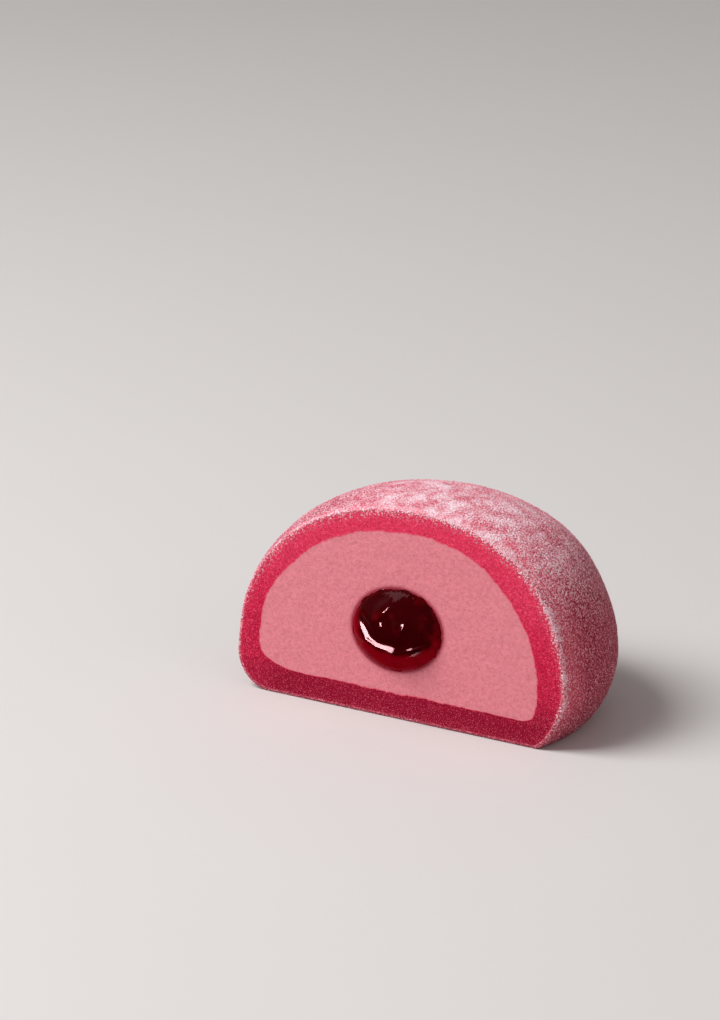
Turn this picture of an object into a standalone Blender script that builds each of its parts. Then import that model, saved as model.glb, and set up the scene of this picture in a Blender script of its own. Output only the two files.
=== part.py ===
"""A filled mochi rice cake, cut open with a knife: rice skin, whipped filling and jam core.

Metres, +Z up. The whole cake is a soft dome that sags onto its flat base. The knife passes
upright in front of the dome's axis, and the larger piece is kept, with its cut face towards -Y.
The origin is on the floor, at the middle of the piece's bounding box.
"""
import math
from collections import namedtuple

import bmesh
import bpy

# One side of a dome, seen from its axis. Its half-width grows from the foot on the floor to the
# radius at the widest level, by the corner exponent, and then closes to the top of the dome by
# the crown exponent. An exponent of 2 is an ellipse, and a larger one has fuller shoulders.
Side = namedtuple("Side", "radius foot widest crown corner")

# A dome is flat below and leans to neither side, but its left, right and back differ.
Dome = namedtuple("Dome", "height base left right back segments rings")

# Outside of the cake
SKIN = Dome(
    height=0.0338, base=0.0,
    left=Side(radius=0.0322, foot=0.0270, widest=0.0057, crown=2.15, corner=2.0),
    right=Side(radius=0.0260, foot=0.0216, widest=0.0085, crown=2.31, corner=1.4),
    back=Side(radius=0.0258, foot=0.0222, widest=0.0065, crown=2.0, corner=1.9),
    segments=96, rings=26)

# Where the skin ends and the filling begins. The skin is thickest under the filling.
FILLING = Dome(
    height=0.0267, base=0.0040,
    left=Side(radius=0.0287, foot=0.0172, widest=0.0044, crown=2.02, corner=2.2),
    right=Side(radius=0.0219, foot=0.0189, widest=0.0046, crown=2.05, corner=2.2),
    back=Side(radius=0.0225, foot=0.0185, widest=0.0048, crown=2.0, corner=2.2),
    segments=72, rings=20)

# The knife plane lies this far in front of the domes' axis.
KNIFE_AHEAD = 0.0079
KNIFE_SIZE = (0.10, 0.06, 0.10)

# Clearance between two neighbouring layers
GAP = 0.0003

# The jam core is a flattened ball that bulges out of the cut. Its centre is given from the domes'
# axis, the knife plane and the floor, and its long axis rises to the right.
JAM_CENTRE = (-0.0030, 0.0032, 0.0140)
JAM_HALF_SIZE = (0.0099, 0.0054, 0.0082)
JAM_TILT = math.radians(13.0)
JAM_SEGMENTS = 44
JAM_RINGS = 20

# Height of the low swells that shaping by hand leaves on the dough, and how many run round it
# and up it. They fade out towards the floor and the top.
SWELL_HEIGHT = 0.0002
SWELLS_ROUND = 5
SWELLS_UP = 3

# Part of the rings that shape the rounded foot, below the widest level
FOOT_RINGS = 0.28

SKIN_COLOUR = (0.56, 0.16, 0.24, 1.0)
FILLING_COLOUR = (0.72, 0.21, 0.27, 1.0)
JAM_COLOUR = (0.10, 0.002, 0.006, 1.0)


def clear_scene():
    """Remove every object that the scene starts with."""
    for thing in list(bpy.data.objects):
        bpy.data.objects.remove(thing, do_unlink=True)


def make_material(name, colour, roughness):
    """A Principled BSDF finish of one colour."""
    material = bpy.data.materials.new(name)
    material.use_nodes = True
    shader = material.node_tree.nodes["Principled BSDF"]
    shader.inputs["Base Color"].default_value = colour
    shader.inputs["Roughness"].default_value = roughness
    shader.inputs["Metallic"].default_value = 0.0
    return material


def half_width(side, level, height):
    """Half-width of one side of a dome at a level above its base."""
    if level >= side.widest:
        rise = (level - side.widest) / (height - side.widest)
        return side.radius * max(0.0, 1.0 - rise ** side.crown) ** (1.0 / side.crown)
    drop = (side.widest - level) / side.widest
    spread = max(0.0, 1.0 - drop ** side.corner) ** (1.0 / side.corner)
    return side.foot + (side.radius - side.foot) * spread


def ring_levels(dome):
    """Levels of a dome's rings, close together at the floor and near the top."""
    shoulder = max(dome.left.widest, dome.right.widest, dome.back.widest)
    low_count = max(3, round(dome.rings * FOOT_RINGS))
    high_count = dome.rings - low_count
    quarter = math.pi / 2.0
    low = [shoulder * (1.0 - math.cos(quarter * i / low_count)) for i in range(low_count)]
    span = dome.height - shoulder
    high = [shoulder + span * math.sin(quarter * i / high_count) for i in range(high_count)]
    return low + high


def swell(angle, level, height):
    """Outward shift of the dough at an angle round the axis and a level."""
    rise = level / height
    fade = math.sin(math.pi * rise)
    wave = math.sin(SWELLS_ROUND * angle + SWELLS_UP * rise) * math.cos(SWELLS_UP * math.pi * rise + angle)
    return SWELL_HEIGHT * fade * wave


def grown_side(side, margin):
    """The same side, moved outwards all round by a margin."""
    return side._replace(radius=side.radius + margin, foot=side.foot + margin)


def grown_dome(dome, margin):
    """The same dome, larger all round by a margin."""
    return dome._replace(
        height=dome.height + 2.0 * margin, base=dome.base - margin,
        left=grown_side(dome.left, margin), right=grown_side(dome.right, margin),
        back=grown_side(dome.back, margin))


def dome_mesh(name, dome):
    """A closed dome about the axis, whose middle lies KNIFE_AHEAD behind the knife plane."""
    shape = bmesh.new()
    loops = []
    for level in ring_levels(dome):
        left = half_width(dome.left, level, dome.height)
        right = half_width(dome.right, level, dome.height)
        deep = half_width(dome.back, level, dome.height)
        loop = []
        for step in range(dome.segments):
            angle = 2.0 * math.pi * step / dome.segments
            shift = swell(angle, level, dome.height)
            across = (right if math.cos(angle) > 0.0 else left) + shift
            x = across * math.cos(angle)
            y = KNIFE_AHEAD + (deep + shift) * math.sin(angle)
            loop.append(shape.verts.new((x, y, dome.base + level)))
        loops.append(loop)
    top = shape.verts.new((0.0, KNIFE_AHEAD, dome.base + dome.height))
    shape.faces.new(reversed(loops[0]))
    for lower, upper in zip(loops, loops[1:]):
        for step in range(dome.segments):
            after = (step + 1) % dome.segments
            shape.faces.new((lower[step], lower[after], upper[after], upper[step]))
    for step in range(dome.segments):
        after = (step + 1) % dome.segments
        shape.faces.new((loops[-1][step], loops[-1][after], top))
    return finished_mesh(name, shape)


def jam_mesh(name, margin):
    """The jam's flattened ball, larger all round by a margin, its poles along Y."""
    shape = bmesh.new()
    bmesh.ops.create_uvsphere(shape, u_segments=JAM_SEGMENTS, v_segments=JAM_RINGS, radius=1.0)
    half_x, half_y, half_z = (half + margin for half in JAM_HALF_SIZE)
    for vert in shape.verts:
        x, y, z = half_x * vert.co.x, half_y * vert.co.z, -half_z * vert.co.y
        vert.co.x = JAM_CENTRE[0] + x * math.cos(JAM_TILT) - z * math.sin(JAM_TILT)
        vert.co.y = JAM_CENTRE[1] + y
        vert.co.z = JAM_CENTRE[2] + x * math.sin(JAM_TILT) + z * math.cos(JAM_TILT)
    return finished_mesh(name, shape)


def finished_mesh(name, shape, smooth=True):
    """A mesh with its faces pointing out, shaded smooth unless it is a flat cut."""
    shape.normal_update()
    bmesh.ops.recalc_face_normals(shape, faces=shape.faces)
    mesh = bpy.data.meshes.new(name)
    shape.to_mesh(mesh)
    shape.free()
    if smooth:
        mesh.shade_smooth()
    return mesh


def add_object(name, mesh, parent):
    """An object in the scene that stands at its parent."""
    thing = bpy.data.objects.new(name, mesh)
    bpy.context.scene.collection.objects.link(thing)
    thing.parent = parent
    return thing


def add_cutter(name, mesh, parent):
    """A shape that only cuts others."""
    cutter = add_object(name, mesh, parent)
    cutter.hide_render = True
    cutter.display_type = "WIRE"
    return cutter


def knife_mesh(name):
    """The block that takes away all in front of the knife plane."""
    shape = bmesh.new()
    bmesh.ops.create_cube(shape, size=1.0)
    bmesh.ops.scale(shape, vec=KNIFE_SIZE, verts=shape.verts)
    bmesh.ops.translate(shape, vec=(0.0, -KNIFE_SIZE[1] / 2.0, 0.0), verts=shape.verts)
    return finished_mesh(name, shape, smooth=False)


def cut_away(thing, cutter):
    """Take a cutter's shape out of an object."""
    cut = thing.modifiers.new(cutter.name, "BOOLEAN")
    cut.operation = "DIFFERENCE"
    cut.solver = "EXACT"
    cut.object = cutter


def add_layer(name, mesh, parent, material):
    """One layer of the cake with its own finish."""
    layer = add_object(name, mesh, parent)
    layer.data.materials.append(material)
    return layer


def add_cake_origin():
    """The empty that holds the cake, so that the bounding box stands centred on the origin."""
    bulge = JAM_HALF_SIZE[1] - JAM_CENTRE[1]
    deepest = KNIFE_AHEAD + SKIN.back.radius
    origin = add_object("cake_origin", None, None)
    origin.location.x = (SKIN.left.radius - SKIN.right.radius) / 2.0
    origin.location.y = (bulge - deepest) / 2.0
    return origin


def build():
    """Make the three layers and the cuts between them."""
    clear_scene()
    origin = add_cake_origin()
    knife = add_cutter("knife", knife_mesh("knife"), origin)
    hollow = add_cutter("hollow", dome_mesh("hollow", grown_dome(FILLING, GAP / 2.0)), origin)
    pocket = add_cutter("pocket", jam_mesh("pocket", GAP), origin)

    skin_finish = make_material("dusted_rice_dough", SKIN_COLOUR, 0.85)
    skin = add_layer("rice_skin", dome_mesh("rice_skin", SKIN), origin, skin_finish)
    cut_away(skin, hollow)
    cut_away(skin, knife)

    filling_finish = make_material("whipped_bean_cream", FILLING_COLOUR, 0.75)
    filling_dome = grown_dome(FILLING, -GAP / 2.0)
    filling = add_layer("cream_filling", dome_mesh("cream_filling", filling_dome), origin, filling_finish)
    cut_away(filling, knife)
    cut_away(filling, pocket)

    jam_finish = make_material("jam", JAM_COLOUR, 0.08)
    add_layer("jam_core", jam_mesh("jam_core", 0.0), origin, jam_finish)


build()
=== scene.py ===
"""Looks of a filled rice cake that was cut open with a knife: dusted dough, whipped filling and jam.

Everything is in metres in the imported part's frame: +X runs along the cut face, +Y runs from the
cut face into the cake and +Z is up. Run it as a script; it is laid out as an add-on.
"""
import math
from collections import namedtuple

import bpy
import numpy as np
from bpy.props import FloatProperty, FloatVectorProperty, IntProperty, PointerProperty
from bpy.types import Operator, Panel, PropertyGroup
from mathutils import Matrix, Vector


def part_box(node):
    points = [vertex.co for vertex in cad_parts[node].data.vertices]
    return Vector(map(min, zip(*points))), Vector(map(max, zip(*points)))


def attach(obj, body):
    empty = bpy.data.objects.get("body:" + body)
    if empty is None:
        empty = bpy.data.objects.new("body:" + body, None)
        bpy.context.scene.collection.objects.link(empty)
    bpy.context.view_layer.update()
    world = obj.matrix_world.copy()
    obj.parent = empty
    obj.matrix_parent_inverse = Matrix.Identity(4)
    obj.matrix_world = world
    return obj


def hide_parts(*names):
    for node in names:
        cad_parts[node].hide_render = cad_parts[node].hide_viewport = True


bl_info = {
    "name": "Cut Rice Cake",
    "version": (1, 0, 0),
    "blender": (4, 5, 0),
    "location": "3D View > Sidebar > Rice Cake",
    "description": "Dusted dough, whipped filling, jam and starch of a rice cake cut open with a knife",
    "category": "Add Mesh",
}

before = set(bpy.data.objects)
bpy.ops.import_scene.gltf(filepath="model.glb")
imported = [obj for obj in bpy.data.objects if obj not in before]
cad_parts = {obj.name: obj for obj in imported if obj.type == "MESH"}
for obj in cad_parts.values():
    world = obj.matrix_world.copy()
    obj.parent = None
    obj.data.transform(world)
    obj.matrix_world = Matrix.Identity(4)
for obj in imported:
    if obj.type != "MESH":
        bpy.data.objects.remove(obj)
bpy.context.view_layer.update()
SKIN_LOW, SKIN_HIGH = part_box("rice_skin")

BODY = "root"
MM = 0.001
QUARTER = math.pi / 2.0

# One side of a dome: its half-width grows from the foot to the radius at the widest level, by the
# corner exponent, and closes to the top by the crown exponent.
Side = namedtuple("Side", "radius foot widest crown corner")
Dome = namedtuple("Dome", "height base left right back")

SKIN = Dome(
    height=0.0338, base=0.0,
    left=Side(radius=0.0322, foot=0.0270, widest=0.0057, crown=2.15, corner=2.0),
    right=Side(radius=0.0260, foot=0.0216, widest=0.0085, crown=2.31, corner=1.4),
    back=Side(radius=0.0258, foot=0.0222, widest=0.0065, crown=2.0, corner=1.9))
FILLING = Dome(
    height=0.0267, base=0.0040,
    left=Side(radius=0.0287, foot=0.0182, widest=0.0044, crown=2.02, corner=2.9),
    right=Side(radius=0.0219, foot=0.0192, widest=0.0046, crown=2.05, corner=2.7),
    back=Side(radius=0.0225, foot=0.0185, widest=0.0048, crown=2.0, corner=2.2))

# The domes' axis stands this far behind the knife plane.
KNIFE_AHEAD = 0.0079

# Low swells that shaping by hand leaves on the dough
SWELL_HEIGHT = 0.0002
SWELLS_ROUND = 5
SWELLS_UP = 3

# The jam's flattened ball, from the domes' axis, the knife plane and the floor
JAM_CENTRE = np.array((-0.0030, 0.0032, 0.0140))
JAM_HALF_SIZE = np.array((0.0099, 0.0054, 0.0082))
JAM_TILT = math.radians(13.0)

# Where the domes' axis meets the knife plane on the floor, in the part's frame
CUT_FOOT = np.array((
    (SKIN_LOW.x + SKIN.left.radius + SKIN_HIGH.x - SKIN.right.radius) / 2.0, SKIN_LOW.y, SKIN_LOW.z))

# All loops of the cake run round this point of the cut face.
HUB = np.array((JAM_CENTRE[0], 0.0, JAM_CENTRE[2]))

# Steps round the dough's lip, shares of the way from the lip to the seam, steps along the hollow
LIP_STEPS = 6
FACE_SHARES = np.array((
    0.04, 0.08, 0.13, 0.18, 0.24, 0.30, 0.37, 0.44, 0.52, 0.60, 0.68, 0.76, 0.85, 0.93, 0.985, 1.0))
WALL_STEPS = 14

# Steps across the filling's face and down its pocket
FACE_STEPS = 72
POCKET_STEPS = 8

# Spokes of the jam, and its steps from the middle to the rim and round the ball behind
JAM_SPOKES = 360
JAM_FRONT_STEPS = 120
JAM_BACK_STEPS = 16

# Points at which outlines are measured before they are divided
OUTLINE_POINTS = 4001
SEAM_POINTS = 1441

# A ray is searched over this length by halving it this often.
RAY_LENGTH = 0.08
RAY_HALVINGS = 28

# Waves round the hub that make up a stray outline, and the share of each
STRAY_WAVES = ((5, 0.9), (11, 0.7), (23, 0.5), (47, 0.45), (83, 0.35), (121, 0.3))

# The filling runs this far into the dough at the seam, and its edge starts this far behind the cut.
FILLING_OVERLAP = 0.05 * MM
FILLING_EDGE_DEPTH = 0.1 * MM

# The bead of jam fills this share of the CAD's outline on the cut, and its rim drops off before that.
JAM_SHARE = 0.968
JAM_RIM = 0.97
JAM_RIM_HEIGHT = 0.12 * MM

# How far the jam's pocket and the jam itself reach behind the cut
POCKET_DEPTH = JAM_CENTRE[1] + JAM_HALF_SIZE[1]
JAM_DEPTH = POCKET_DEPTH - 0.1 * MM

# Folds and lumps of the jam: across and up as shares of its tilted outline, turn, half length and
# half width as such shares, and lift in millimetres
JAM_LUMPS = (
    (-0.135, 0.170, 0.55, 0.080, 0.130, 0.200), (0.279, 0.026, 1.04, 0.220, 0.060, 0.247),
    (0.490, -0.401, 0.17, 0.223, 0.034, 0.282), (0.460, -0.552, 0.34, 0.230, 0.034, 0.309),
    (-0.681, -0.098, 2.69, 0.236, 0.072, 0.205), (-0.402, -0.329, 2.65, 0.251, 0.119, 0.231),
    (0.030, -0.547, -0.30, 0.266, 0.149, 0.526), (-0.570, 0.170, 2.11, 0.340, 0.128, -0.605),
    (-0.138, -0.229, 2.85, 0.316, 0.110, -0.310), (-0.080, 0.500, 0.65, 0.354, 0.086, 0.240))
TINY = 1e-9

# Kinds of loose grain: piece, most grains on a square metre, smallest and largest radius, seed
Grains = namedtuple("Grains", "piece density smallest largest seed")
COAT_GRAINS = Grains("coat_grains", 7.0e6, 0.07 * MM, 0.15 * MM, 3)
FRINGE_GRAINS = Grains("fringe_grains", 1.0e8, 0.06 * MM, 0.20 * MM, 5)
CUT_GRAINS = Grains("cut_grains", 2.2e7, 0.04 * MM, 0.08 * MM, 8)
GRIT_LIGHT = (0.80, 0.16, 0.25, 1.0)

# Lights: turn and rise in degrees from the front of the cut, distance, width and height, colour
Lamp = namedtuple("Lamp", "name turn rise distance size colour")
KEY = Lamp("Key", -50.0, 52.0, 0.8, (0.45, 0.45), (1.0, 1.0, 1.0))
GLOSS = Lamp("Gloss", -36.0, 15.0, 0.8, (0.126, 0.253), (1.0, 1.0, 1.0))
FILL = Lamp("Fill", 70.0, 30.0, 0.9, (0.6, 0.6), (1.0, 0.80, 0.78))
ROOM_COLOUR = (1.0, 0.97, 0.96, 1.0)
BLACK = (0.0, 0.0, 0.0, 1.0)

# Half the floor's width, and the spot at the picture's middle, from the foot of the domes' axis
FLOOR_HALF = 3.0
CAMERA_AIM = np.array((-9.35 * MM, 0.0, 31.37 * MM))

# Kinds of socket in node groups
NUMBER = "NodeSocketFloat"
WHOLE = "NodeSocketInt"
WORD = "NodeSocketString"
GEOMETRY = "NodeSocketGeometry"
FINISH = "NodeSocketMaterial"


def number(name, description, default, **kind):
    """A number that a user may change, with its unit or subtype."""
    return FloatProperty(name=name, description=description, default=default, **kind)


def length(name, description, default):
    """A small length that a user may change."""
    return number(name, description, default, unit="LENGTH", precision=5)


def colour(name, description, red, green, blue):
    """A colour that a user may change, as linear values."""
    return FloatVectorProperty(
        name=name, description=description, default=(red, green, blue, 1.0), subtype="COLOR", size=4)


class CakeSizes(PropertyGroup):
    """Fineness and small sizes of the three layers."""

    around: IntProperty(
        name="Points Around", description="Points in each loop of the dough and the filling",
        default=448, min=64, max=640)
    rings: IntProperty(
        name="Dough Rings", description="Loops from the cut to the back of the dough",
        default=112, min=24, max=160)
    lip: length("Cut Lip", "Radius of the dough's edge round the cut", 0.45 * MM)
    wobble: length("Seam Wobble", "How far the seam of dough and filling strays", 0.09 * MM)
    proud: length("Filling Rise", "How far the filling lies in front of the dough's cut face", 0.015 * MM)
    dough_relief: length("Dough Relief", "Height of the clumps on the dusted dough", 0.14 * MM)
    cut_relief: length("Cut Relief", "Height of the unevenness of the cut faces", 0.07 * MM)
    bulge: length("Jam Bulge", "How far the smooth bead of jam stands out of the cut", 2.3 * MM)


class CakeColours(PropertyGroup):
    """Colours of the cake, as linear values."""

    dough: colour("Dough", "Rice dough where it is cut", 0.72, 0.016, 0.075)
    # Dough darkened by painted shade towards the floor, also used for its dark grain
    dough_shade_and_dark_grain: colour("Shaded Dough", "Rice dough where it is damp", 0.27, 0.004, 0.026)
    # Paler dough towards the top of the cut face
    dough_upper: colour("Upper Dough", "Rice dough where it is cut and has dried", 0.74, 0.115, 0.19)
    dough_grit: colour("Dough Grit", "Pale grit in the cut dough", 0.92, 0.10, 0.19)
    outside: colour("Outer Dough", "Dough between the starch outside", 0.56, 0.085, 0.135)
    # Painted shade in the pits, where the starch is barest and the surface lowest
    outside_pit_shade: colour("Outer Dough Pits", "Pits of the dough outside", 0.27, 0.02, 0.045)
    starch: colour("Starch", "Thick starch on the dough", 0.84, 0.62, 0.68)
    starch_loose: colour("Loose Starch", "Grains of starch that took up colour", 0.90, 0.53, 0.60)
    starch_thin: colour("Thin Starch", "Dough seen through a film of starch", 0.68, 0.19, 0.25)
    # Painted light: outer dough and thin starch near the cut, painted lighter as if light came through them
    lit_dough: colour(
        "Lit Dough", "Outer dough near the cut, where light comes through", 0.74, 0.115, 0.175)
    lit_film: colour(
        "Lit Film", "Thin starch near the cut, where light comes through", 0.88, 0.27, 0.34)
    filling: colour("Filling", "Whipped filling", 0.75, 0.240, 0.285)
    # Painted shade in the hollows of the filling's bump
    filling_hollow_shade: colour("Filling Hollows", "Hollows of the filling", 0.665, 0.192, 0.233)
    # Painted shade in the pores
    filling_pore_shade: colour("Filling Pores", "Pores of the filling", 0.58, 0.15, 0.19)
    jam: colour("Jam", "Jam where it is thick", 0.034, 0.0004, 0.0010)
    jam_edge: colour("Jam Edge", "Jam where light comes through it", 0.23, 0.0005, 0.006)
    jam_stain: colour("Jam Stain", "Filling soaked with jam", 0.30, 0.005, 0.028)


class StudioSettings(PropertyGroup):
    """Floor, light and camera."""

    floor_colour: colour("Floor", "Colour of the floor", 0.62, 0.60, 0.59)
    camera_turn: number(
        "Camera Turn", "Turn of the camera to the right of the cut face's front", 0.544, subtype="ANGLE")
    camera_rise: number("Camera Rise", "Rise of the camera above the horizon", 0.324, subtype="ANGLE")
    camera_distance: number(
        "Camera Distance", "From the camera to the point that it looks at", 0.66, unit="LENGTH")
    camera_lens: number("Camera Lens", "Focal length in millimetres", 160.0)
    key_power: number("Key Light", "Power of the large soft light in watts", 7.8, unit="POWER")
    fill_power: number("Fill Light", "Power of the soft light on the other side", 1.0, unit="POWER")
    gloss_power: number(
        "Gloss Light", "Power of the low strip light that shows on wet jam alone", 46.0, unit="POWER")
    sky: number("Room Light", "Strength of the even light from all round", 0.28)


def to_part(points):
    """Points given from the domes' axis and the knife plane, moved into the part's frame."""
    return points + CUT_FOOT


def half_width(side, level, height):
    """Half-width of one side of a dome at levels above its base."""
    rise = np.clip((level - side.widest) / (height - side.widest), 0.0, 1.0)
    drop = np.clip((side.widest - level) / side.widest, 0.0, 1.0)
    upper = side.radius * (1.0 - rise ** side.crown) ** (1.0 / side.crown)
    spread = (1.0 - drop ** side.corner) ** (1.0 / side.corner)
    lower = side.foot + (side.radius - side.foot) * spread
    return np.where(level >= side.widest, upper, lower)


def swell(angle, level, height):
    """Outward shift of the dough at angles round the axis and levels."""
    rise = np.clip(level / height, 0.0, 1.0)
    wave = np.sin(SWELLS_ROUND * angle + SWELLS_UP * rise) * np.cos(SWELLS_UP * math.pi * rise + angle)
    return SWELL_HEIGHT * np.sin(math.pi * rise) * wave


def outside_dome(dome, points):
    """Which points lie outside a dome."""
    x, y, z = points.T
    level = z - dome.base
    right = half_width(dome.right, level, dome.height)
    left = half_width(dome.left, level, dome.height)
    across = np.where(x > 0.0, right, left) + TINY
    deep = half_width(dome.back, level, dome.height) + TINY
    behind = y - KNIFE_AHEAD
    shift = swell(np.arctan2(behind / deep, x / across), level, dome.height)
    spread = (x / (across + shift)) ** 2 + (behind / (deep + shift)) ** 2
    return (level < 0.0) | (level > dome.height) | (spread > 1.0)


def reach(dome, start, directions):
    """Points where rays from a point inside a dome leave it."""
    near = np.zeros(len(directions))
    far = np.full(len(directions), RAY_LENGTH)
    for _ in range(RAY_HALVINGS):
        middle = (near + far) / 2.0
        out = outside_dome(dome, start + directions * middle[:, None])
        far = np.where(out, middle, far)
        near = np.where(out, near, middle)
    return start + directions * far[:, None]


def flat_directions(angles):
    """Directions in the knife plane, at angles from +X towards +Z."""
    return np.stack([np.cos(angles), np.zeros_like(angles), np.sin(angles)], axis=-1)


def deeper(distance):
    """A shift from the cut face straight into the cake."""
    return np.array((0.0, distance, 0.0))


def turned_directions(angles, turn):
    """The same directions, turned out of the knife plane towards +Y."""
    return flat_directions(angles) * math.cos(turn) + deeper(math.sin(turn))


def back_point(dome, start):
    """Point where a ray straight into the cake leaves a dome."""
    return reach(dome, start, turned_directions(np.zeros(1), QUARTER))[0]


def even_angles(dome, count):
    """Angles whose rays meet the dome's cut outline at even steps along it."""
    fine = np.linspace(0.0, 2.0 * math.pi, OUTLINE_POINTS)
    outline = reach(dome, HUB, flat_directions(fine))
    run = np.concatenate([[0.0], np.cumsum(np.linalg.norm(np.diff(outline, axis=0), axis=1))])
    steps = np.linspace(0.0, run[-1], count, endpoint=False)
    return np.interp(steps, run, fine)


def seam_wobble(angles, amount, seed=7):
    """Small irregular shift of an outline, from waves of several lengths."""
    draw = np.random.default_rng(seed)
    shift = np.zeros_like(angles)
    for waves, share in STRAY_WAVES:
        shift += share * np.sin(waves * angles + draw.uniform(0.0, 2.0 * math.pi))
    return amount * shift


def patches(angles, strength, seed):
    """Irregular patches along an outline, from 0 to 1."""
    return np.clip(0.5 + strength * seam_wobble(angles, 1.0, seed), 0.0, 1.0)


def seam_outline(angles, wobble):
    """Seam of dough and filling on the cut face."""
    directions = flat_directions(angles)
    return reach(FILLING, HUB, directions) + directions * seam_wobble(angles, wobble)[:, None]


def jam_outline(angles, share=1.0):
    """Outline of the jam on the cut face, or a smaller one of the same shape."""
    cut_share = math.sqrt(1.0 - (JAM_CENTRE[1] / JAM_HALF_SIZE[1]) ** 2)
    half_x = JAM_HALF_SIZE[0] * cut_share * JAM_SHARE
    half_z = JAM_HALF_SIZE[2] * cut_share * JAM_SHARE
    turned = angles - JAM_TILT
    radius = 1.0 / np.sqrt((np.cos(turned) / half_x) ** 2 + (np.sin(turned) / half_z) ** 2)
    return HUB + flat_directions(angles) * (radius * share)[:, None]


def inward_normals(loop):
    """Directions in the knife plane from an outline towards its inside."""
    along = np.roll(loop, -1, axis=0) - np.roll(loop, 1, axis=0)
    across = np.stack([-along[:, 2], np.zeros(len(loop)), along[:, 0]], axis=-1)
    across /= np.linalg.norm(across, axis=1)[:, None] + TINY
    inward = np.sign(np.sum(across * (HUB - loop), axis=1))
    return across * inward[:, None]


def loop_mesh(name, first_pole, loops, last_pole):
    """A closed smooth mesh through loops of equal length."""
    count = len(loops[0])
    points = to_part(np.concatenate([first_pole[None], *loops, last_pole[None]]))
    here = np.arange(count)
    after = (here + 1) % count
    faces = []
    start = 1
    for _ in range(len(loops) - 1):
        quads = [start + here, start + after, start + count + after, start + count + here]
        faces.extend(np.stack(quads, axis=-1).tolist())
        start += count
    end = len(points) - 1
    faces.extend(np.stack([np.zeros_like(here), 1 + after, 1 + here], axis=-1).tolist())
    faces.extend(np.stack([np.full_like(here, end), start + here, start + after], axis=-1).tolist())
    if signed_volume(points, faces) < 0.0:
        faces = [face[::-1] for face in faces]
    mesh = bpy.data.meshes.new(name)
    mesh.from_pydata(points.tolist(), [], faces)
    mesh.shade_smooth()
    mesh.update()
    return mesh


def loop_numbers(loops):
    """For each point of a loop mesh, the number of its loop; the poles count as loops."""
    inner = np.repeat(np.arange(1, len(loops) + 1), len(loops[0]))
    return np.concatenate([[0], inner, [len(loops) + 1]])


def signed_volume(points, faces):
    """Volume of a closed mesh, below zero where its faces point in."""
    corners = np.array([
        (face[0], face[i], face[i + 1]) for face in faces for i in range(1, len(face) - 1)])
    a, b, c = points[corners[:, 0]], points[corners[:, 1]], points[corners[:, 2]]
    return float(np.sum(np.einsum("ij,ij->i", a, np.cross(b, c)))) / 6.0


def add_object(name, data):
    """An object at the origin."""
    thing = bpy.data.objects.new(name, data)
    bpy.context.scene.collection.objects.link(thing)
    return thing


def settle(piece, slot, *nodes):
    """Let a finished piece ride on the cake and hide the CAD nodes that it replaces; the slot is not used.
    """
    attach(piece, BODY)
    if nodes:
        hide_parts(*nodes)


def set_inputs(tree, node, inputs):
    """Set a node's inputs to values, or link them to sockets."""
    for key, value in inputs.items():
        if isinstance(value, bpy.types.NodeSocket):
            tree.links.new(value, node.inputs[key])
        else:
            node.inputs[key].default_value = value


def add_node(tree, kind, inputs=None, **settings):
    """A node with its settings and inputs."""
    node = tree.nodes.new(kind)
    for key, setting in settings.items():
        setattr(node, key, setting)
    set_inputs(tree, node, inputs or {})
    return node


def maths(tree, operation, first, second, clamp=False):
    """Output of a Math node."""
    node = add_node(tree, "ShaderNodeMath", {0: first, 1: second}, operation=operation, use_clamp=clamp)
    return node.outputs[0]


def ramp(tree, value, low, high, low_out=0.0, high_out=1.0, way="SMOOTHSTEP"):
    """A value led smoothly from one range to another."""
    inputs = {"Value": value, "From Min": low, "From Max": high, "To Min": low_out, "To Max": high_out}
    return add_node(tree, "ShaderNodeMapRange", inputs, interpolation_type=way).outputs["Result"]


def straight(tree, value, low, high):
    """A value led evenly from a range to 0 and 1."""
    return ramp(tree, value, low, high, way="LINEAR")


def noise(tree, vector, size, detail=2.0, roughness=0.5):
    """Noise whose features are about as large as a size in metres."""
    scale = maths(tree, "DIVIDE", 1.0, size) if isinstance(size, bpy.types.NodeSocket) else 1.0 / size
    inputs = {"Vector": vector, "Scale": scale, "Detail": detail, "Roughness": roughness}
    return add_node(tree, "ShaderNodeTexNoise", inputs).outputs["Fac"]


def layered_noise(tree, vector, layers):
    """Sum of noises about zero, each given by its size, detail, roughness and strength."""
    total = None
    for size, detail, roughness, strength in layers:
        centred = maths(tree, "SUBTRACT", noise(tree, vector, size, detail, roughness), 0.5)
        scaled = maths(tree, "MULTIPLY", centred, strength)
        total = scaled if total is None else maths(tree, "ADD", total, scaled)
    return total


def mix_colours(tree, share, first, second):
    """Colour between two others. A Mix node's names repeat, so its sockets go by number."""
    node = add_node(tree, "ShaderNodeMix", {0: share, 6: first, 7: second}, data_type="RGBA")
    return node.outputs[2]


def object_place(tree):
    """Object coordinates, in a material."""
    return add_node(tree, "ShaderNodeTexCoord").outputs["Object"]


def surface_number(tree, name):
    """A named number of the mesh's points, in a material."""
    return add_node(tree, "ShaderNodeAttribute", attribute_name=name).outputs["Fac"]


def point_number(tree, name):
    """A named number of the mesh's points, in a geometry tree."""
    node = add_node(tree, "GeometryNodeInputNamedAttribute", {"Name": name}, data_type="FLOAT")
    return node.outputs["Attribute"]


def group_once(name, kind, inputs, outputs, fill):
    """A node group with named sockets, made and filled when it is first asked for."""
    group = bpy.data.node_groups.get(name)
    if group:
        return group
    group = bpy.data.node_groups.new(name, kind)
    for label, socket, default in inputs:
        made = group.interface.new_socket(label, in_out="INPUT", socket_type=socket)
        if default is not None:
            made.default_value = default
    for label, socket in outputs:
        group.interface.new_socket(label, in_out="OUTPUT", socket_type=socket)
    given = group.nodes.new("NodeGroupInput").outputs
    result = group.nodes.new("NodeGroupOutput")
    set_inputs(group, result, fill(group, given))
    return group


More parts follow.
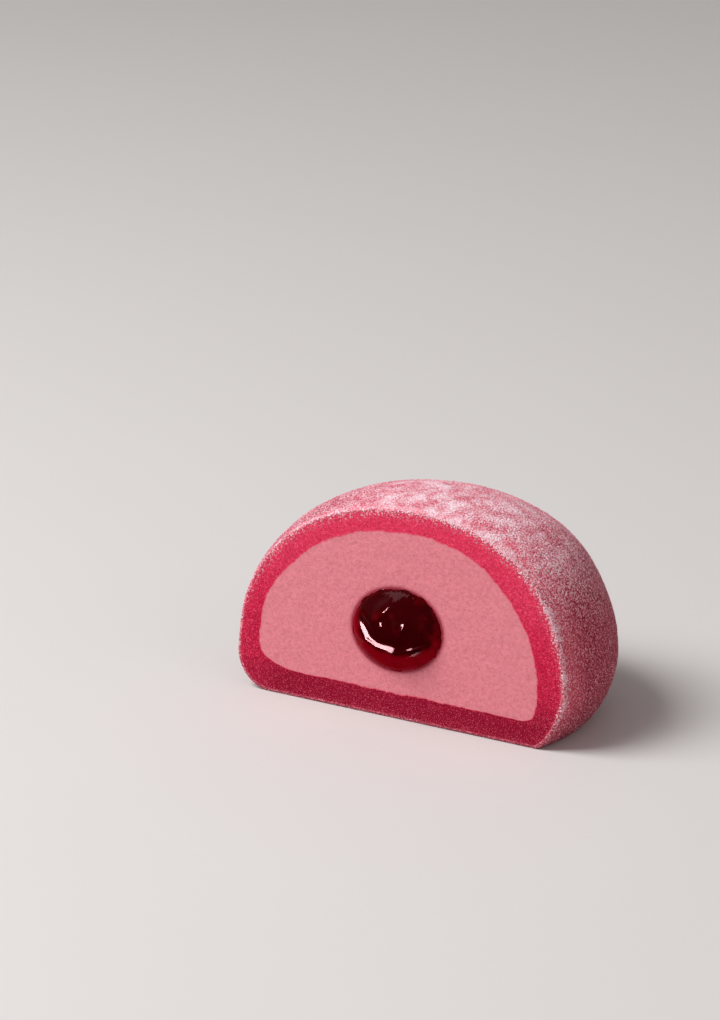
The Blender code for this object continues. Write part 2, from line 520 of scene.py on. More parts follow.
def grain_group():
    """Shader group: fine and coarse grain on object coordinates, as a value and a height."""
    return group_once(
        "Fine Grain", "ShaderNodeTree",
        [("Grain Size", NUMBER, 0.3 * MM), ("Mottle Size", NUMBER, 1.5 * MM), ("Grain Share", NUMBER, 0.5)],
        [("Value", NUMBER), ("Height", NUMBER)], fill_grain)


def fill_grain(group, given):
    """Nodes of the grain group."""
    place = object_place(group)
    fine = noise(group, place, given["Grain Size"], 1.0)
    coarse = noise(group, place, given["Mottle Size"])
    mixed = add_node(group, "ShaderNodeMix", {0: given["Grain Share"], 2: coarse, 3: fine})
    return {"Value": mixed.outputs[0], "Height": fine}


def starch_group():
    """Shader group: how far starch covers the dough, from an amount and noise of three sizes."""
    return group_once(
        "Starch Cover", "ShaderNodeTree",
        [("Amount", NUMBER, 0.5), ("Patch Size", NUMBER, 7 * MM), ("Clump Size", NUMBER, 2.2 * MM),
         ("Grain Size", NUMBER, 0.28 * MM), ("Patch Contrast", NUMBER, 1.7),
         ("Clump Contrast", NUMBER, 2.2), ("Grain Contrast", NUMBER, 3.4)],
        [("Cover", NUMBER), ("Height", NUMBER)], fill_starch)


def fill_starch(group, given):
    """Nodes of the starch group.

    Patches and clumps swing more where there is more starch. Grains show most at a middling
    amount, and less where the dough is nearly bare or the coat is thick.
    """
    place = object_place(group)
    amount = given["Amount"]
    patchy = layered_noise(group, place, (
        (given["Patch Size"], 2.5, 0.55, given["Patch Contrast"]),
        (given["Clump Size"], 1.5, 0.55, given["Clump Contrast"])))
    squared = maths(group, "MULTIPLY", amount, amount)
    linear = maths(group, "MULTIPLY", amount, 0.30)
    swing = maths(group, "ADD", maths(group, "MULTIPLY", squared, 0.65), linear)
    uneven = maths(group, "ADD", amount, maths(group, "MULTIPLY", patchy, swing))
    local = maths(group, "MAXIMUM", uneven, maths(group, "MULTIPLY", amount, 0.55))
    spots = noise(group, place, given["Grain Size"], 1.5)
    centred = maths(group, "SUBTRACT", spots, 0.5)
    falling = maths(group, "SUBTRACT", 3.6, maths(group, "MULTIPLY", amount, 4.8))
    swelling = maths(group, "MULTIPLY", amount, falling)
    contrast = maths(group, "MULTIPLY", given["Grain Contrast"], maths(group, "ADD", swelling, 0.41))
    gritty = maths(group, "MULTIPLY", centred, contrast)
    present = ramp(group, amount, 0.0, 0.12)
    covered = maths(group, "MULTIPLY", maths(group, "ADD", local, gritty), present, clamp=True)
    height = maths(group, "ADD", maths(group, "MULTIPLY", covered, 0.5), spots)
    return {"Cover": covered, "Height": height}


def new_material(name):
    """A material with only its Principled BSDF and output; gives the material, its tree and shader."""
    material = bpy.data.materials.new(name)
    material.use_nodes = True
    return material, material.node_tree, material.node_tree.nodes["Principled BSDF"]


def add_grain(tree, grain_size, mottle_size, share=0.5):
    """Outputs of the group of fine and coarse grain, placed in a material."""
    inputs = {"Grain Size": grain_size, "Mottle Size": mottle_size, "Grain Share": share}
    return add_node(tree, "ShaderNodeGroup", inputs, node_tree=grain_group()).outputs


def bump(tree, height, distance):
    """A normal from a height."""
    return add_node(tree, "ShaderNodeBump", {"Height": height, "Distance": distance}).outputs["Normal"]


def coat_material(colours):
    """Outside of the dough: a film of starch with bare spots, thick patches and grit, painted shade in its
    pits and painted light near the cut.
    """
    material, tree, shader = new_material("Dusted Coat")
    # Share of painted light near the cut
    edge = surface_number(tree, "edge")
    # Painted shade in the pits, lifted by the painted light near the cut
    pit_glow = maths(tree, "MULTIPLY", edge, 0.6)
    low = mix_colours(tree, pit_glow, colours.outside_pit_shade, colours.lit_dough)
    bare = mix_colours(tree, edge, colours.outside, colours.lit_dough)
    film = mix_colours(tree, edge, colours.starch_thin, colours.lit_film)
    surface, height = dusted_colour(tree, low, bare, film, colours)
    set_inputs(tree, shader, {
        "Base Color": surface, "Roughness": 0.9, "Specular IOR Level": 0.15, "Sheen Weight": 0.10,
        "Sheen Roughness": 0.35, "Sheen Tint": (1.0, 0.80, 0.86, 1.0),
        "Normal": bump(tree, height, 0.20 * MM)})
    return material


def dough_material(colours):
    """Cut dough: crimson grit with painted shade that darkens it towards the floor, paler towards the top,
    with starch dragged in from the edge.
    """
    material, tree, shader = new_material("Cut Rice Dough")
    grain = add_grain(tree, 0.30 * MM, 0.9 * MM, 0.8)
    parts = add_node(tree, "ShaderNodeSeparateXYZ", {"Vector": object_place(tree)})
    up = parts.outputs["Z"]
    # Painted shade: darker near the floor and towards the bottom, but less so at the left end
    low = ramp(tree, up, 2.0 * MM, 9.0 * MM, 0.52, 0.0)
    left = ramp(tree, parts.outputs["X"], -28.0 * MM, -18.0 * MM, 0.30, 0.0)
    foot = maths(tree, "SUBTRACT", low, left, clamp=True)
    shaded = maths(tree, "ADD", foot, ramp(tree, up, 4.0 * MM, 29.0 * MM, 0.46, 0.0))
    # Dark grain, added to the painted shade
    dark = ramp(tree, grain["Value"], 0.30, 0.50, 0.36, 0.0)
    deep = maths(tree, "ADD", shaded, dark, clamp=True)
    # Paler towards the top of the cut face
    toward_top = ramp(tree, up, 13.0 * MM, 23.0 * MM, 0.0, 0.20)
    paled = mix_colours(tree, toward_top, colours.dough, colours.dough_upper)
    bare = mix_colours(tree, deep, paled, colours.dough_shade_and_dark_grain)
    # Pale grit, less of it where the painted shade darkens the dough
    unshaded = maths(tree, "SUBTRACT", 1.0, maths(tree, "MULTIPLY", shaded, 0.78))
    bright = maths(tree, "MULTIPLY", ramp(tree, grain["Value"], 0.54, 0.72, 0.0, 0.75), unshaded)
    gritty = mix_colours(tree, bright, bare, colours.dough_grit)
    surface = dusted_colour(tree, gritty, gritty, colours.starch_thin, colours)[0]
    set_inputs(tree, shader, {
        "Base Color": surface, "Roughness": 0.6, "Specular IOR Level": 0.06, "Subsurface Weight": 0.06,
        "Subsurface Radius": (1.0, 0.2, 0.3), "Subsurface Scale": 0.5 * MM,
        "Normal": bump(tree, grain["Height"], 0.13 * MM)})
    return material


def dusted_colour(tree, low, bare, film, colours):
    """Colour of dough under starch that follows the starch numbers, and the starch's height."""
    inputs = {"Amount": surface_number(tree, "starch")}
    starch = add_node(tree, "ShaderNodeGroup", inputs, node_tree=starch_group())
    cover = starch.outputs["Cover"]
    under = mix_colours(tree, straight(tree, cover, 0.0, 0.22), low, bare)
    filmed = mix_colours(tree, straight(tree, cover, 0.15, 0.60), under, film)
    surface = mix_colours(tree, straight(tree, cover, 0.50, 1.0), filmed, colours.starch)
    return surface, starch.outputs["Height"]


def grain_material(name, light, shade):
    """Loose starch, a little different from grain to grain."""
    material, tree, shader = new_material(name)
    grain = add_grain(tree, 0.4 * MM, 3.0 * MM)
    share = ramp(tree, grain["Value"], 0.35, 0.65)
    set_inputs(tree, shader, {
        "Base Color": mix_colours(tree, share, shade, light), "Roughness": 0.85,
        "Specular IOR Level": 0.3})
    return material


def filling_material(colours):
    """Whipped filling: matt pink with painted shade in its hollows and fine pores, stained by the jam and
    gritty at the seam.
    """
    material, tree, shader = new_material("Whipped Filling")
    grain = add_grain(tree, 0.30 * MM, 0.75 * MM)
    # Painted shade: darker where the bump dips
    hollow = ramp(tree, grain["Value"], 0.34, 0.62, 1.0, 0.0)
    body = mix_colours(tree, hollow, colours.filling, colours.filling_hollow_shade)
    cell_inputs = {"Vector": object_place(tree), "Scale": 1.0 / (1.1 * MM)}
    cells = add_node(tree, "ShaderNodeTexVoronoi", cell_inputs)
    # Painted shade in the pores
    pore_shade = ramp(tree, cells.outputs["Distance"], 0.10, 0.20, 0.55, 0.0)
    pored = mix_colours(tree, pore_shade, body, colours.filling_pore_shade)
    uneven = maths(tree, "SUBTRACT", grain["Height"], 0.5)
    rough_seam = maths(tree, "ADD", surface_number(tree, "seam"), uneven)
    tinted = mix_colours(tree, ramp(tree, rough_seam, 0.45, 1.05, 0.0, 0.8), pored, colours.dough)
    soaked = ramp(tree, surface_number(tree, "stain"), 0.05, 1.0, 0.0, 0.9)
    set_inputs(tree, shader, {
        "Base Color": mix_colours(tree, soaked, tinted, colours.jam_stain), "Roughness": 0.75,
        "Specular IOR Level": 0.2, "Subsurface Weight": 0.12, "Subsurface Radius": (1.0, 0.4, 0.4),
        "Subsurface Scale": 0.8 * MM, "Normal": bump(tree, grain["Value"], 0.10 * MM)})
    return material


def jam_material(colours):
    """Jam: nearly black in the middle, red where its edge is thin, and wet."""
    material, tree, shader = new_material("Jam")
    place = object_place(tree)
    cloud = layered_noise(tree, place, ((2.2 * MM, 3.0, 0.55, 1.5),))
    shifted = maths(tree, "ADD", surface_number(tree, "thin"), cloud)
    body = mix_colours(tree, ramp(tree, shifted, 0.0, 0.9), colours.jam, colours.jam_edge)
    skin = ramp(tree, noise(tree, place, 2.6 * MM, 1.0), 0.48, 0.62, 0.05, 0.17)
    set_inputs(tree, shader, {
        "Base Color": body, "Roughness": skin, "IOR": 1.38, "Specular IOR Level": 0.06,
        "Specular Tint": (1.0, 0.45, 0.50, 1.0)})
    return material


def scaled_vector(tree, vector, scale):
    """A vector times a number."""
    node = add_node(tree, "ShaderNodeVectorMath", {0: vector, "Scale": scale}, operation="SCALE")
    return node.outputs["Vector"]


def random_vector(tree, low, high):
    """A random vector for each point, between two others."""
    node = add_node(tree, "FunctionNodeRandomValue", {0: low, 1: high}, data_type="FLOAT_VECTOR")
    return node.outputs[0]


def realised(tree, geometry, material):
    """Geometry with its instances made real and its material set."""
    real = add_node(tree, "GeometryNodeRealizeInstances", {"Geometry": geometry})
    inputs = {"Geometry": real.outputs["Geometry"], "Material": material}
    return add_node(tree, "GeometryNodeSetMaterial", inputs).outputs["Geometry"]


def relief_tree():
    """Geometry tree: lifts a surface along its normals by noise, as far as a named number says."""
    return group_once(
        "Uneven Surface", "GeometryNodeTree",
        [("Geometry", GEOMETRY, None), ("Clump Height", NUMBER, 0.1 * MM),
         ("Clump Size", NUMBER, 2.0 * MM), ("Grit Height", NUMBER, 0.05 * MM),
         ("Grit Size", NUMBER, 0.7 * MM), ("Material", FINISH, None), ("Cut Material", FINISH, None)],
        [("Geometry", GEOMETRY)], fill_relief)


def fill_relief(tree, given):
    """Nodes of the relief tree. The cut dough has a material of its own."""
    place = tree.nodes.new("GeometryNodeInputPosition").outputs[0]
    lift = layered_noise(tree, place, (
        (given["Clump Size"], 2.0, 0.5, given["Clump Height"]),
        (given["Grit Size"], 2.0, 0.5, given["Grit Height"])))
    scaled = maths(tree, "MULTIPLY", lift, point_number(tree, "relief"))
    offset = scaled_vector(tree, tree.nodes.new("GeometryNodeInputNormal").outputs[0], scaled)
    moved = add_node(tree, "GeometryNodeSetPosition", {"Geometry": given["Geometry"], "Offset": offset})
    outside = realised(tree, moved.outputs["Geometry"], given["Material"])
    cut = add_node(
        tree, "FunctionNodeCompare", {"A": point_number(tree, "bare"), "B": 0.5},
        data_type="FLOAT", operation="GREATER_THAN")
    finished = add_node(
        tree, "GeometryNodeSetMaterial",
        {"Geometry": outside, "Selection": cut.outputs["Result"], "Material": given["Cut Material"]})
    return {"Geometry": finished.outputs["Geometry"]}


def grains_tree():
    """Geometry tree: scatters small angular grains over a surface by a named density."""
    return group_once(
        "Scattered Grains", "GeometryNodeTree",
        [("Geometry", GEOMETRY, None), ("Density", NUMBER, 1e6), ("Where", WORD, "starch"),
         ("Smallest", NUMBER, 0.05 * MM), ("Largest", NUMBER, 0.12 * MM), ("Seed", WHOLE, 1),
         ("Material", FINISH, None)],
        [("Geometry", GEOMETRY)], fill_grains)


def fill_grains(tree, given):
    """Nodes of the tree that scatters grains. Each grain is stretched, turned and sized at random."""
    density = maths(tree, "MULTIPLY", point_number(tree, given["Where"]), given["Density"])
    points = add_node(
        tree, "GeometryNodeDistributePointsOnFaces",
        {"Mesh": given["Geometry"], "Density": density, "Seed": given["Seed"]},
        distribute_method="RANDOM")
    grain = add_node(tree, "GeometryNodeMeshUVSphere", {"Segments": 4, "Rings": 2, "Radius": 1.0})
    size = add_node(
        tree, "FunctionNodeRandomValue",
        {2: given["Smallest"], 3: given["Largest"], "Seed": given["Seed"]}, data_type="FLOAT")
    stretch = random_vector(tree, (0.6, 0.6, 0.5), (1.3, 1.0, 0.9))
    scale = scaled_vector(tree, stretch, size.outputs[1])
    turn = random_vector(tree, (0.0, 0.0, 0.0), (math.tau, math.tau, math.tau))
    placed = add_node(
        tree, "GeometryNodeInstanceOnPoints",
        {"Points": points.outputs["Points"], "Instance": grain.outputs["Mesh"], "Rotation": turn,
         "Scale": scale})
    return {"Geometry": realised(tree, placed.outputs["Instances"], given["Material"])}


def run_tree(name, source, tree, inputs):
    """The plain mesh that a geometry tree makes of a mesh."""
    holder = add_object(name + ".source", source)
    modifier = holder.modifiers.new(tree.name, "NODES")
    modifier.node_group = tree
    sockets = {item.name: item.identifier for item in tree.interface.items_tree if item.in_out == "INPUT"}
    for label, value in inputs.items():
        modifier[sockets[label]] = value
    graph = bpy.context.evaluated_depsgraph_get()
    mesh = bpy.data.meshes.new_from_object(holder.evaluated_get(graph), depsgraph=graph)
    mesh.name = name
    bpy.data.objects.remove(holder)
    return mesh


def vertex_vectors(mesh, name):
    """Places or normals of a mesh's points as an array."""
    numbers = np.zeros(len(mesh.vertices) * 3, np.float32)
    mesh.vertices.foreach_get(name, numbers)
    return numbers.reshape(-1, 3)


def set_numbers(mesh, label, numbers):
    """Store one number for each point under a name."""
    layer = mesh.attributes.new(label, "FLOAT", "POINT")
    layer.data.foreach_set("value", np.ascontiguousarray(numbers, dtype=np.float32))


def fade(numbers, low, high):
    """A smooth step from 0 to 1 between two values."""
    share = np.clip((numbers - low) / (high - low), 0.0, 1.0)
    return share * share * (3.0 - 2.0 * share)


def peak(numbers, middle, width):
    """A bell curve that is 1 at its middle."""
    return np.exp(-((numbers - middle) / width) ** 2)


def dough_loops(sizes):
    """Loops of the dough from its back, round the cut's lip and back along the hollow.

    Also gives each point's way past the middle of the lip.
    """
    angles = even_angles(SKIN, sizes.around)
    start = HUB + deeper(sizes.lip)
    half_lip = sizes.lip * QUARTER / 2.0
    loops = []
    past = []
    for step in range(sizes.rings):
        turn = QUARTER * (1.0 - (step + 1) / sizes.rings)
        loop = reach(SKIN, start, turned_directions(angles, turn))
        loops.append(loop)
        past.append(sizes.lip - loop[:, 1] - half_lip)
    edge = loops[-1]
    inward = inward_normals(edge)
    for step in range(1, LIP_STEPS + 1):
        bend = QUARTER * step / LIP_STEPS
        shift = inward * (sizes.lip * (1.0 - math.cos(bend)))
        loops.append(edge + shift - deeper(sizes.lip * math.sin(bend)))
        past.append(np.full(len(angles), sizes.lip * bend - half_lip))
    front = loops[-1]
    seam = seam_outline(angles, sizes.wobble)
    width = np.linalg.norm(seam - front, axis=1)
    for share in FACE_SHARES:
        loops.append(front + (seam - front) * share)
        past.append(half_lip + width * share)
    for step in range(1, WALL_STEPS):
        loops.append(reach(FILLING, HUB, turned_directions(angles, QUARTER * step / WALL_STEPS)))
        past.append(half_lip + width)
    return back_point(SKIN, start), loops, back_point(FILLING, HUB), past


def dough_mesh(sizes, colours):
    """Dusted dough with the numbers that its starch, relief and grains follow."""
    first, loops, last, past = dough_loops(sizes)
    mesh = loop_mesh("dusted_dough", first, loops, last)
    past = np.concatenate([[-1.0], *past, [1.0]])
    order = loop_numbers(loops)
    face_first = sizes.rings + LIP_STEPS
    face_last = face_first + len(FACE_SHARES)
    outside = order <= face_first
    on_face = (order > face_first) & (order < face_last)
    place = vertex_vectors(mesh, "co") - CUT_FOOT
    across = place[:, 0]
    level = place[:, 2]
    top = fade(vertex_vectors(mesh, "normal")[:, 2], -0.1, 1.0) ** 1.7
    right = fade(across, -0.012, 0.012) * fade(level, 3.0 * MM, 14.0 * MM)
    bearing = bearings(place)
    gaps = patches(bearing, 0.55, 19)
    clumps = patches(3.0 * bearing, 0.9, 23)

    # Starch lies thickest on top and thins out to the left. Some clings to the edge of the coat on
    # the right, some to the lip on the left, and the knife dragged a frost of it onto the cut.
    thickness = 0.10 + 0.62 * top * (0.62 + 0.38 * fade(across, -22.0 * MM, -6.0 * MM))
    edge = peak(past, -0.60 * MM, 1.0 * MM) * (0.15 + 0.85 * gaps)
    rim = peak(past, -0.05 * MM, 0.45 * MM) * (1.0 - right) * (0.7 + 0.3 * gaps)
    # The lip holds less starch near the floor; this paints shade where the cake meets the floor.
    rim *= 0.35 + 0.65 * fade(level, 2.0 * MM, 8.0 * MM)
    frost = 0.46 * np.exp(-np.clip(past, 0.0, 1.0) / (0.85 * MM)) * fade(level, 2.0 * MM, 6.0 * MM)
    frost *= (0.35 + 0.65 * fade(level, 8.0 * MM, 20.0 * MM)) * fade(past, -2.0 * MM, 0.0)
    starch = thickness * (1.0 - fade(past, -0.5 * MM, 2.2 * MM)) + edge * (0.05 + 0.24 * right * clumps)
    starch = np.maximum(np.maximum(starch, 0.74 * rim), frost)
    starch[order > face_last] = 0.0
    set_numbers(mesh, "starch", starch)

    # Painted light: the dough is painted lighter near the cut, and most at the lower right, for light that
    # comes through it.
    lit = fade(past, -6.5 * MM, -0.3 * MM) * fade(across, 6.0 * MM, 18.0 * MM)
    lit *= fade(level, 0.0, 9.0 * MM)
    near = fade(past, -1.5 * MM, 0.1 * MM) * (0.35 + 0.65 * fade(level, 1.0 * MM, 7.0 * MM))
    set_numbers(mesh, "edge", np.maximum(lit, near))
    set_numbers(mesh, "bare", (order > face_first).astype(float))

    # The relief dies down at the floor and at the seam.
    relief = fade(level, 0.1 * MM, 1.5 * MM) * outside
    seam_relief = fade(seam_distance(place, sizes.wobble), 0.0, 0.6 * MM)
    relief += 0.45 * on_face * seam_relief * fade(level, 0.0, 0.5 * MM)
    set_numbers(mesh, "relief", relief)

    above = fade(level, 0.5 * MM, 1.5 * MM)
    set_numbers(mesh, COAT_GRAINS.piece, outside * above * (0.38 + 0.62 * top))
    fringe = peak(past, -0.2 * MM, 0.45 * MM) * (0.15 + 0.85 * gaps * clumps)
    set_numbers(mesh, FRINGE_GRAINS.piece, fringe * above * (0.02 + 0.98 * right) * (order <= face_last))
    inner = np.exp(-np.clip(past - 0.5 * MM, 0.0, 1.0) / (1.6 * MM))
    set_numbers(mesh, CUT_GRAINS.piece, on_face * (0.3 + 0.7 * inner))
    inputs = {
        "Clump Height": 1.2 * sizes.dough_relief, "Clump Size": 2.6 * MM,
        "Grit Height": sizes.dough_relief, "Grit Size": 0.9 * MM,
        "Material": coat_material(colours), "Cut Material": dough_material(colours)}
    return run_tree("dusted_dough", mesh, relief_tree(), inputs)


def bearings(place):
    """Angles of points round the hub, from +X towards +Z."""
    return np.arctan2(place[:, 2] - HUB[2], place[:, 0] - HUB[0])


def seam_distance(place, wobble):
    """Distance of points near the cut from where the seam crosses their ray from the hub."""
    fine = np.linspace(-math.pi, math.pi, SEAM_POINTS)
    radius = np.linalg.norm(seam_outline(fine, wobble) - HUB, axis=1)
    bearing = bearings(place)
    far = np.interp(bearing, fine, radius)
    crossing = np.stack([HUB[0] + far * np.cos(bearing), HUB[2] + far * np.sin(bearing)], axis=-1)
    return np.linalg.norm(place[:, [0, 2]] - crossing, axis=1)


def filling_mesh(sizes, colours):
    """Filling with its pores' relief, the stain round the jam and the gritty seam."""
    angles = even_angles(SKIN, sizes.around)
    face = deeper(-sizes.proud)
    overlap = flat_directions(angles) * FILLING_OVERLAP
    loops = []
    for step in range(1, WALL_STEPS):
        turn = QUARTER * (1.0 - step / WALL_STEPS)
        loops.append(reach(FILLING, HUB, turned_directions(angles, turn)))
    seam = seam_outline(angles, sizes.wobble)
    loops.append(seam + overlap + deeper(FILLING_EDGE_DEPTH))
    rim = seam + face
    pocket = jam_outline(angles, 0.95) + face
    loops.append(rim + overlap * 0.6)
    loops.append(rim + overlap * 0.3)
    for step in range(1, FACE_STEPS + 1):
        loops.append(rim + (pocket - rim) * step / FACE_STEPS)
    for step in range(1, POCKET_STEPS):
        bend = QUARTER * step / POCKET_STEPS
        depth = POCKET_DEPTH * math.sin(bend)
        loops.append(HUB + (pocket - face - HUB) * math.cos(bend) + deeper(depth))
    mesh = loop_mesh("whipped_filling", back_point(FILLING, HUB), loops, HUB + deeper(POCKET_DEPTH))
    order = loop_numbers(loops)
    on_face = (order > WALL_STEPS) & (order <= WALL_STEPS + 2 + FACE_STEPS)
    place = vertex_vectors(mesh, "co") - CUT_FOOT
    to_seam = seam_distance(place, sizes.wobble)
    away = np.hypot(place[:, 0] - HUB[0], place[:, 2] - HUB[2])
    outline = jam_outline(bearings(place))
    edge = np.hypot(outline[:, 0] - HUB[0], outline[:, 2] - HUB[2])
    set_numbers(mesh, "stain", np.exp(-np.clip(away - edge, 0.0, 1.0) / (0.40 * MM)))
    set_numbers(mesh, "seam", on_face * (1.0 - fade(to_seam, 0.0, 0.45 * MM)))
    set_numbers(mesh, "relief", on_face * fade(to_seam, 0.0, 0.6 * MM))
    inputs = {
        "Clump Height": 2.2 * sizes.cut_relief, "Clump Size": 2.4 * MM,
        "Grit Height": sizes.cut_relief, "Grit Size": 0.7 * MM, "Material": filling_material(colours)}
    return run_tree("whipped_filling", mesh, relief_tree(), inputs)


def jam_height(share, angles, bulge):
    """How far the jam stands out of the cut, at a share of the way to its edge and angles."""
    turned = angles - JAM_TILT
    round_it = np.arctan2(np.sin(turned) / JAM_HALF_SIZE[2], np.cos(turned) / JAM_HALF_SIZE[0])
    across = share * np.cos(round_it)
    up = share * np.sin(round_it)
    height = bulge * (1.0 - np.clip(share / JAM_RIM, 0.0, 1.0) ** 2.0) ** 0.8
    for lump_across, lump_up, turn, half_long, half_wide, lift in JAM_LUMPS:
        along = (across - lump_across) * math.cos(turn) + (up - lump_up) * math.sin(turn)
        side = (up - lump_up) * math.cos(turn) - (across - lump_across) * math.sin(turn)
        height = height + lift * MM * np.exp(-(along / half_long) ** 2 - (side / half_wide) ** 2)
    rim = JAM_RIM_HEIGHT * (1.0 - fade(share, 0.90, 1.0))
    return np.maximum(height, 0.0) + rim


def jam_mesh(sizes, colours):
    """Jam that bulges out of the cut as a wet bead, with its ball behind the cut."""
    angles = np.linspace(0.0, 2.0 * math.pi, JAM_SPOKES, endpoint=False)
    spokes = jam_outline(angles) - HUB
    ragged = flat_directions(angles) * seam_wobble(angles, 0.04 * MM)[:, None]
    below = (0.5 - 0.5 * np.sin(angles + 0.15)) ** 1.4
    loops = []
    thin = [0.0]
    for step in range(1, JAM_FRONT_STEPS + 1):
        share = math.sin(QUARTER * step / JAM_FRONT_STEPS)
        height = jam_height(share, angles, sizes.bulge)
        outward = np.stack([np.zeros_like(height), height, np.zeros_like(height)], axis=-1)
        loops.append(HUB + spokes * share + ragged * share ** 6 - outward)
        thin.extend(fade(share, 0.93 - 0.60 * below, 1.10 - 0.46 * below) * (0.35 + 0.65 * below))
    for step in range(1, JAM_BACK_STEPS):
        bend = QUARTER * step / JAM_BACK_STEPS
        loops.append(HUB + spokes * math.cos(bend) + deeper(JAM_DEPTH * math.sin(bend)))
        thin.extend([0.5] * len(angles))
    front = HUB - deeper(float(jam_height(0.0, np.zeros(1), sizes.bulge)[0]))
    mesh = loop_mesh("jam_bead", front, loops, HUB + deeper(JAM_DEPTH))
    set_numbers(mesh, "thin", np.array(thin + [0.0]))
    mesh.materials.append(jam_material(colours))
    return mesh


def grains_mesh(grains, material):
    """Loose grains over the dough that is already in the scene."""
    ground = bpy.data.objects["dusted_dough"].data.copy()
    inputs = {
        "Density": grains.density, "Where": grains.piece, "Smallest": grains.smallest,
        "Largest": grains.largest, "Seed": grains.seed, "Material": material}
    return run_tree(grains.piece, ground, grains_tree(), inputs)


def make_layer(scene, name, shape, slot, node):
    """One layer of the cake, in place of its CAD node."""
    piece = add_object(name, shape(scene.cake_sizes, scene.cake_colours))
    settle(piece, slot, node)


class CAKE_OT_dough(Operator):
    """Make the dusted rice dough"""

    bl_idname = "cake.dough"
    bl_label = "Rice Dough"

    def execute(self, context):
        make_layer(context.scene, "dusted_dough", dough_mesh, "dusted_dough", "rice_skin")
        return {"FINISHED"}


class CAKE_OT_filling(Operator):
    """Make the whipped filling"""

    bl_idname = "cake.filling"
    bl_label = "Whipped Filling"

    def execute(self, context):
        make_layer(context.scene, "whipped_filling", filling_mesh, "whipped_cream", "cream_filling")
        return {"FINISHED"}


class CAKE_OT_jam(Operator):
    """Make the bead of jam"""

    bl_idname = "cake.jam"
    bl_label = "Jam"

    def execute(self, context):
        make_layer(context.scene, "jam_bead", jam_mesh, "jam", "jam_core")
        return {"FINISHED"}


class CAKE_OT_starch(Operator):
    """Scatter loose starch over the coat, its edge round the cut and the cut dough"""

    bl_idname = "cake.starch"
    bl_label = "Loose Starch"

    def execute(self, context):
        colours = context.scene.cake_colours
        rosy = grain_material("Loose Starch", colours.starch_loose, colours.starch_thin)
        pale = grain_material("Starch Crumbs", colours.starch, colours.starch_loose)
        grit = grain_material("Dough Grit", colours.dough_grit, GRIT_LIGHT)
        for grains, material in ((COAT_GRAINS, rosy), (FRINGE_GRAINS, pale), (CUT_GRAINS, grit)):
            piece = add_object(grains.piece, grains_mesh(grains, material))
            settle(piece, "dusted_dough")
        return {"FINISHED"}


def add_aimed(name, data, place, direction):
    """A light or camera that stands at a place and looks along a direction."""
    thing = add_object(name, data)
    thing.location = place
    thing.rotation_mode = "QUATERNION"
    thing.rotation_quaternion = direction.to_track_quat("-Z", "Y")
    return thing


def add_light(lamp, power):
    """A soft light that points at the middle of the jam."""
    light = bpy.data.lights.new(lamp.name, "AREA")
    light.energy = power
    light.color = lamp.colour
    light.shape = "RECTANGLE"
    light.size, light.size_y = lamp.size
    aim = Vector(to_part(HUB))
    place = aim + from_front(math.radians(lamp.turn), math.radians(lamp.rise), lamp.distance)
    return add_aimed(lamp.name, light, place, aim - place)


def from_front(turn, rise, distance):
    """A place at an angle round the cake from the cut's front, a rise above the floor, and a distance."""
    across = math.sin(turn) * math.cos(rise)
    ahead = -math.cos(turn) * math.cos(rise)
    return Vector((across, ahead, math.sin(rise))) * distance


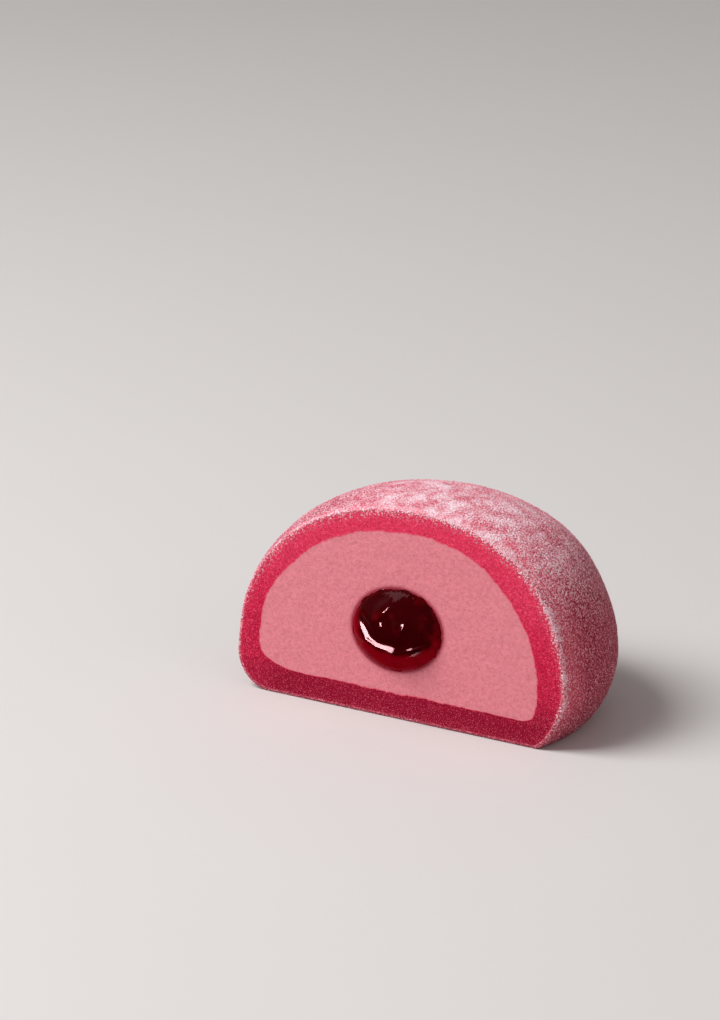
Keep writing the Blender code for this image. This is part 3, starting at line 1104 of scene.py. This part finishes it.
class CAKE_OT_stage(Operator):
    """Make the floor, the lights and the camera"""

    bl_idname = "cake.stage"
    bl_label = "Stage"

    def execute(self, context):
        scene = context.scene
        studio = scene.cake_studio
        self.add_floor(studio)
        add_light(KEY, studio.key_power)
        gloss = add_light(GLOSS, studio.gloss_power)
        gloss.visible_diffuse = False
        wet = bpy.data.collections.new("Wet Pieces")
        wet.objects.link(bpy.data.objects["jam_bead"])
        gloss.light_linking.receiver_collection = wet
        add_light(FILL, studio.fill_power)
        self.set_room(scene, studio.sky)
        self.add_camera(scene, studio)
        scene.view_settings.view_transform = "Standard"
        return {"FINISHED"}

    def add_floor(self, studio):
        """A plain pale floor that mirror reflections don't show."""
        mesh = bpy.data.meshes.new("floor")
        corners = [(FLOOR_HALF * x, FLOOR_HALF * y, 0.0) for x, y in ((-1, -1), (1, -1), (1, 1), (-1, 1))]
        mesh.from_pydata(corners, [], [(0, 1, 2, 3)])
        material, tree, shader = new_material("Pale Floor")
        grain = add_grain(tree, 0.8 * MM, 40 * MM)
        pale = tuple(studio.floor_colour)
        shade = tuple(0.97 * part for part in pale[:3]) + (1.0,)
        surface = mix_colours(tree, grain["Value"], shade, pale)
        set_inputs(tree, shader, {"Base Color": surface, "Roughness": 0.7})
        mesh.materials.append(material)
        floor = add_object("floor", mesh)
        floor.visible_glossy = False

    def set_room(self, scene, strength):
        """Even light from all round, with darkness below the horizon in reflections."""
        world = bpy.data.worlds.new("Room")
        world.use_nodes = True
        tree = world.node_tree
        place = add_node(tree, "ShaderNodeTexCoord").outputs["Generated"]
        up = add_node(tree, "ShaderNodeSeparateXYZ", {"Vector": place}).outputs["Z"]
        glossy = tree.nodes.new("ShaderNodeLightPath").outputs["Is Glossy Ray"]
        matt = maths(tree, "SUBTRACT", 1.0, glossy)
        share = maths(tree, "MAXIMUM", straight(tree, up, -0.08, -0.01), matt)
        light = mix_colours(tree, share, BLACK, ROOM_COLOUR)
        set_inputs(tree, tree.nodes["Background"], {"Color": light, "Strength": strength})
        scene.world = world

    def add_camera(self, scene, studio):
        """A camera at the photograph's angle, with the picture's middle up and left of the cake."""
        back = from_front(studio.camera_turn, studio.camera_rise, studio.camera_distance)
        lens = bpy.data.cameras.new("Camera")
        lens.lens = studio.camera_lens
        lens.sensor_width = 36.0
        lens.clip_start = 0.01
        lens.clip_end = 20.0
        scene.camera = add_aimed("Camera", lens, Vector(to_part(CAMERA_AIM)) + back, -back)


class CAKE_PT_panel(Panel):
    """Sizes, colours and steps of the cake"""

    bl_label = "Rice Cake"
    bl_idname = "CAKE_PT_panel"
    bl_space_type = "VIEW_3D"
    bl_region_type = "UI"
    bl_category = "Rice Cake"

    def draw(self, context):
        scene = context.scene
        for group in (scene.cake_sizes, scene.cake_colours, scene.cake_studio):
            box = self.layout.box()
            for key in group.__annotations__:
                box.prop(group, key)
        for operator in STEPS:
            self.layout.operator(operator.bl_idname)


STEPS = (CAKE_OT_dough, CAKE_OT_filling, CAKE_OT_jam, CAKE_OT_starch, CAKE_OT_stage)
CLASSES = (CakeSizes, CakeColours, StudioSettings, *STEPS, CAKE_PT_panel)


def register():
    """Add the classes and the scene's settings."""
    for kind in CLASSES:
        bpy.utils.register_class(kind)
    bpy.types.Scene.cake_sizes = PointerProperty(type=CakeSizes)
    bpy.types.Scene.cake_colours = PointerProperty(type=CakeColours)
    bpy.types.Scene.cake_studio = PointerProperty(type=StudioSettings)


def unregister():
    """Take the classes and the scene's settings away."""
    del bpy.types.Scene.cake_studio
    del bpy.types.Scene.cake_colours
    del bpy.types.Scene.cake_sizes
    for kind in reversed(CLASSES):
        bpy.utils.unregister_class(kind)


def main():
    """Make every piece and the stage."""
    register()
    bpy.ops.cake.dough()
    bpy.ops.cake.filling()
    bpy.ops.cake.jam()
    bpy.ops.cake.starch()
    bpy.ops.cake.stage()


if __name__ == "__main__":
    main()
